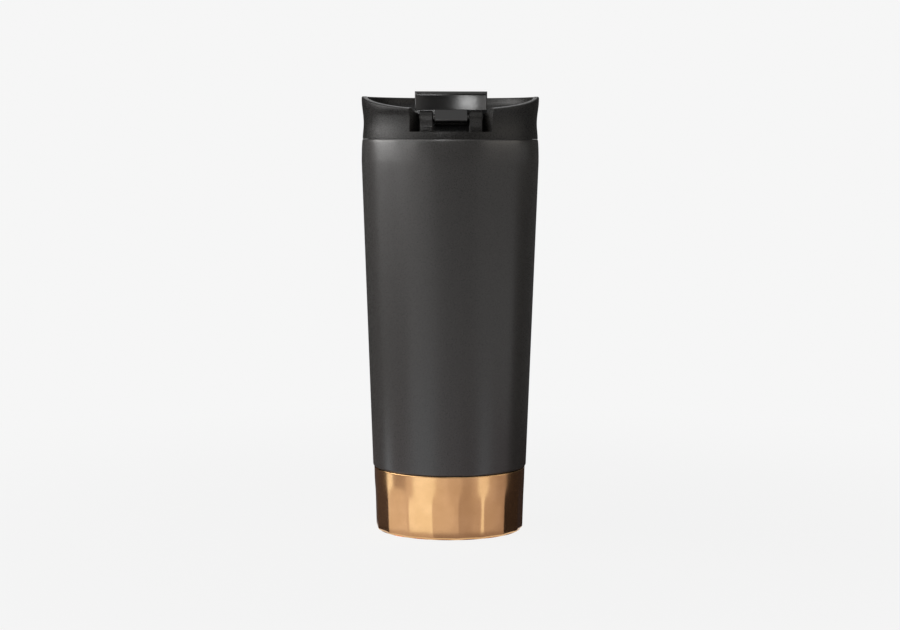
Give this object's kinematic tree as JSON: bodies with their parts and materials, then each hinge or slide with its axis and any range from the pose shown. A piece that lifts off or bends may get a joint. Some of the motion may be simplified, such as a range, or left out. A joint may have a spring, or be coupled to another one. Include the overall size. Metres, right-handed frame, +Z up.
{
  "type": "insulated tumbler with lid",
  "caption": "Tapered vacuum-insulated tumbler with a charcoal shell, a faceted copper-coloured base and a push-on lid with a flip lever over a sealed drinking slot.",
  "frame": {"origin": "centre of the resting face, on the tumbler's axis", "axes": "+Z up along the axis, -Y towards the lid's hinge, +Y towards the drinking side"},
  "size_m": [0.0826, 0.0825, 0.2047],
  "materials": {
    "powder_coat": "satin powder coat",
    "bare_steel": "brushed",
    "copper_foil": "bright foil",
    "getter_grey": "sintered",
    "solder": "dull",
    "copper_plate": "satin plated",
    "dark_silicone": "matte",
    "textured_black": "fine spark-eroded texture",
    "satin_black": "satin",
    "white_foam": "foam",
    "clear_silicone": "translucent grey silicone"
  },
  "bodies": {
    "tumbler": {"outer_shell": "powder_coat", "inner_liner": "bare_steel", "liner_floor": "bare_steel", "radiation_foil": "copper_foil", "getter_pellet": "getter_grey", "getter_clip": "bare_steel", "vacuum_base": "bare_steel", "vacuum_seal": "solder", "base_cup": "copper_plate", "foot_pad": "dark_silicone"},
    "lid": {"lid_collar": "textured_black", "lid_plug": "textured_black", "lid_insulation": "white_foam", "lid_gasket": "clear_silicone", "hinge_pin": "bare_steel"},
    "lever": {"flip_lever": "satin_black", "lever_insert": "satin_black", "spout_stopper": "clear_silicone", "vent_stopper": "clear_silicone"}
  },
  "joints": [
    {"name": "lid_lift_off", "type": "slide", "parent": "tumbler", "child": "lid", "axis": [0, 0, 1], "range_m": [0, 0.04]},
    {"name": "lever_flip", "type": "hinge", "parent": "lid", "child": "lever", "pos_m": [0, -0.031, 0.1928], "axis": [1, 0, 0], "range_deg": [0, 95]}
  ]
}
